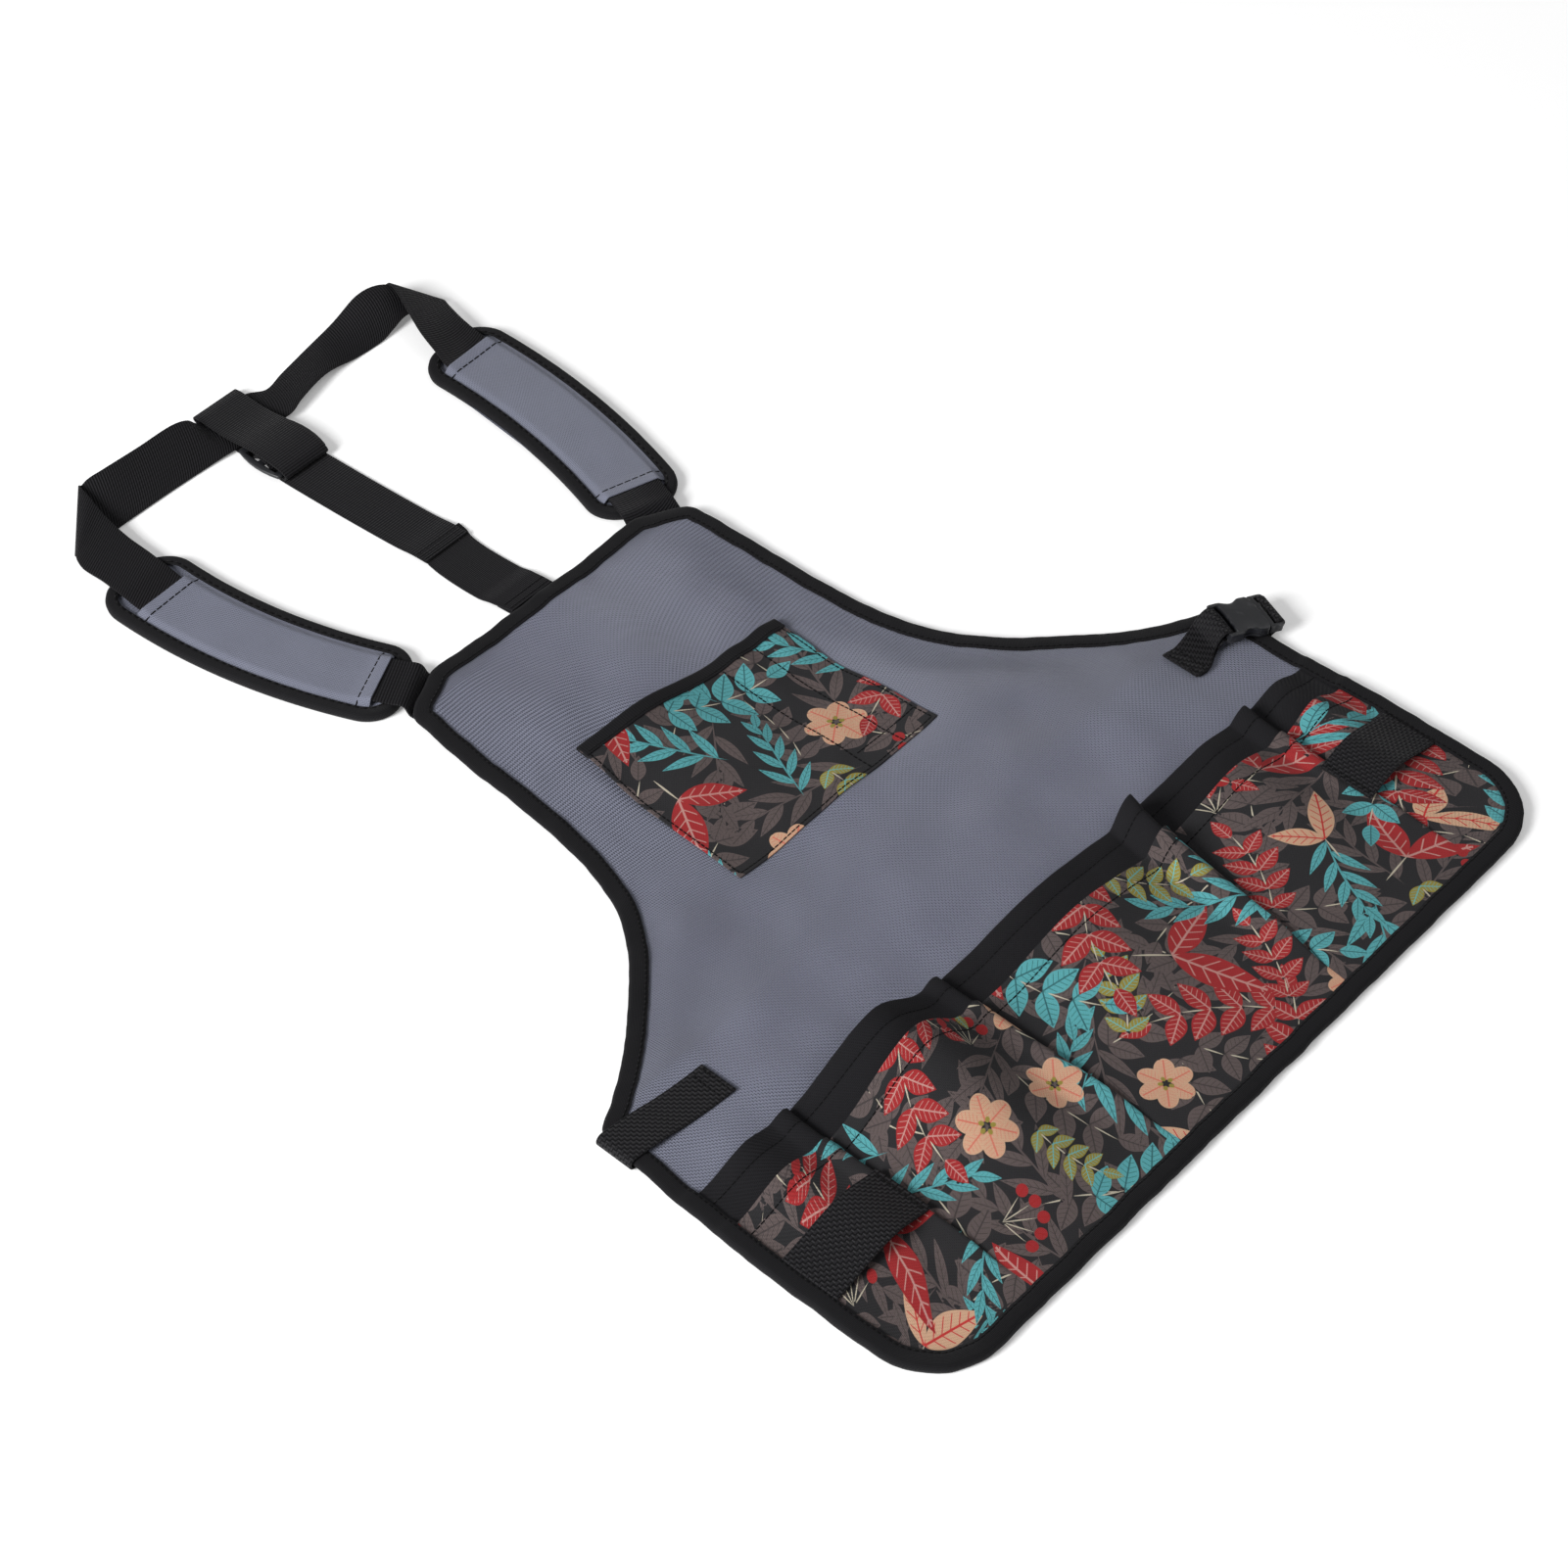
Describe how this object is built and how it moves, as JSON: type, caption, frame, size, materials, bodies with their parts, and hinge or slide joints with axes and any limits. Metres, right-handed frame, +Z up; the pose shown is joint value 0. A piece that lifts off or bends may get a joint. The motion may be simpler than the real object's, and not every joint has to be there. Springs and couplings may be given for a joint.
{
  "type": "tool apron",
  "caption": "Bib tool apron lying open on its back, with printed chest and skirt pockets, a bound edge, padded neck straps joined to an adjustable back strap, and a buckled waist belt.",
  "frame": {"origin": "under the middle of the apron as it lies, on the surface it lies on", "axes": "+X to the wearer's left, across the skirt, +Y from the hem to the neck strap, +Z up from the surface"},
  "size_m": [0.6016, 0.8826, 0.0415],
  "materials": {
    "grey_cloth": "matte plain weave",
    "printed_cloth": "matte canvas with a leaf print",
    "black_cloth": "matte plain weave",
    "black_tape": "soft sheen, fine ribs",
    "black_webbing": "ribbed webbing",
    "dark_plastic": "satin"
  },
  "bodies": {
    "root": {"apron_panel": "grey_cloth", "edge_binding": "black_tape", "pocket_back_layer": "black_cloth", "pocket_front_layer": "printed_cloth", "chest_pocket": "printed_cloth", "chest_pocket_binding": "black_tape", "hammer_loop_left": "black_webbing", "hammer_loop_right": "black_webbing", "pad_left": "grey_cloth", "pad_left_binding": "black_tape", "pad_left_cover": "grey_cloth", "pad_right": "grey_cloth", "pad_right_binding": "black_tape", "pad_right_cover": "grey_cloth", "neck_strap": "black_webbing", "back_strap_upper": "black_webbing", "strap_slider": "dark_plastic", "back_elastic": "black_webbing", "back_strap_lower": "black_webbing", "waist_belt": "black_webbing", "buckle_tab": "black_webbing", "buckle_female": "dark_plastic", "buckle_male": "dark_plastic"}
  },
  "joints": []
}
